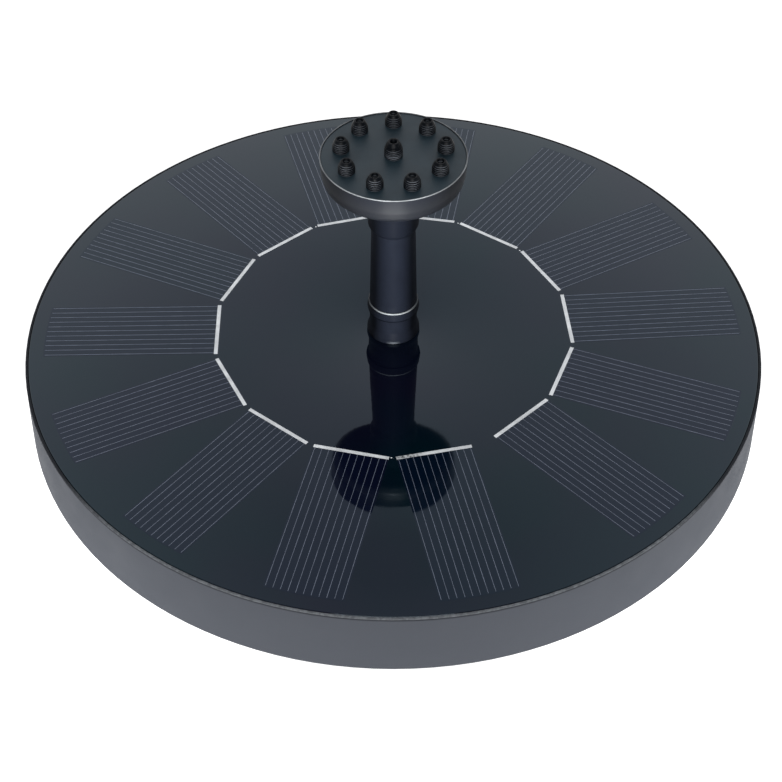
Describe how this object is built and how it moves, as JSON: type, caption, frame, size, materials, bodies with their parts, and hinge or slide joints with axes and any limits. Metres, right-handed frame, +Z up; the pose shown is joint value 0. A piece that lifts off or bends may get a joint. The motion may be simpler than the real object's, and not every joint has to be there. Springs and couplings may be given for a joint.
{
  "type": "solar floating fountain pump",
  "caption": "Round solar panel on a hollow float with a small magnet-drive pump and strainer basket beneath, and an upright riser ending in a round spray head.",
  "frame": {"origin": "on the riser's axis, at the underside of the strainer basket, which is what the fountain stands on out of the water", "axes": "+Z up along the riser; the pump's shaft lies along Y, with its inlet towards -Y and its motor towards +Y"},
  "size_m": [0.1612, 0.1612, 0.0837],
  "materials": {
    "panel_laminate": "glossy black laminate",
    "cell_silicon": "glossy dark blue-black",
    "tinned_ribbon": "tinned, satin",
    "component_black": "moulded epoxy",
    "float_plastic": "fine moulded texture",
    "base_plastic": "fine moulded texture",
    "gasket_rubber": "matte",
    "stainless": "satin",
    "basket_plastic": "satin moulding",
    "filter_foam": "open-cell foam",
    "strap_plastic": "satin moulding",
    "pump_plastic": "satin moulding",
    "seal_rubber": "matte",
    "impeller_plastic": "smooth moulding",
    "ferrite": "ground ferrite",
    "bush_plastic": "smooth",
    "shaft_steel": "ground",
    "lamination_steel": "stacked laminations",
    "bobbin_plastic": "moulded",
    "enamelled_copper": "enamelled wire",
    "circuit_board": "solder mask",
    "potting_resin": "cast resin",
    "lead_jacket": "smooth jacket",
    "riser_plastic": "satin moulding",
    "nozzle_plastic": "satin moulding"
  },
  "bodies": {
    "float": {"panel_board": "panel_laminate", "solar_cells": "cell_silicon", "cell_ribbons": "tinned_ribbon", "blocking_diode": "component_black", "float_shell": "float_plastic", "float_base": "base_plastic", "base_gaskets": "gasket_rubber", "base_screws": "stainless", "pump_strap": "strap_plastic", "strap_screws": "stainless", "volute": "pump_plastic", "volute_seal": "seal_rubber", "pump_screws": "stainless", "shaft": "shaft_steel", "front_shaft_seat": "seal_rubber", "rear_shaft_seat": "seal_rubber", "thrust_washers": "shaft_steel", "motor_housing": "pump_plastic", "stator_core": "lamination_steel", "coil_bobbins": "bobbin_plastic", "stator_coils": "enamelled_copper", "driver_board": "circuit_board", "driver_parts": "component_black", "potting": "potting_resin", "pump_lead": "lead_jacket", "lead_grommet": "gasket_rubber"},
    "rotor": {"impeller": "impeller_plastic", "rotor_magnet": "ferrite", "rotor_bushes": "bush_plastic"},
    "riser_adapter": {"riser_adapter": "riser_plastic"},
    "riser_tube": {"riser_tube": "riser_plastic"},
    "spray_head": {"spray_cup": "riser_plastic", "nozzle_plate": "nozzle_plastic"},
    "strainer": {"strainer_basket": "basket_plastic", "filter_foam": "filter_foam"}
  },
  "joints": [
    {"name": "rotor_spin", "type": "hinge", "parent": "float", "child": "rotor", "pos_m": [0, 0.005, 0.017], "axis": [0, 1, 0], "continuous": true},
    {"name": "adapter_pull", "type": "slide", "parent": "float", "child": "riser_adapter", "axis": [0, 0, 1], "range_m": [0, 0.012]},
    {"name": "riser_pull", "type": "slide", "parent": "riser_adapter", "child": "riser_tube", "axis": [0, 0, 1], "range_m": [0, 0.01]},
    {"name": "head_pull", "type": "slide", "parent": "riser_tube", "child": "spray_head", "axis": [0, 0, 1], "range_m": [0, 0.012]},
    {"name": "basket_pull", "type": "slide", "parent": "float", "child": "strainer", "axis": [0, 0, -1], "range_m": [0, 0.022]}
  ]
}
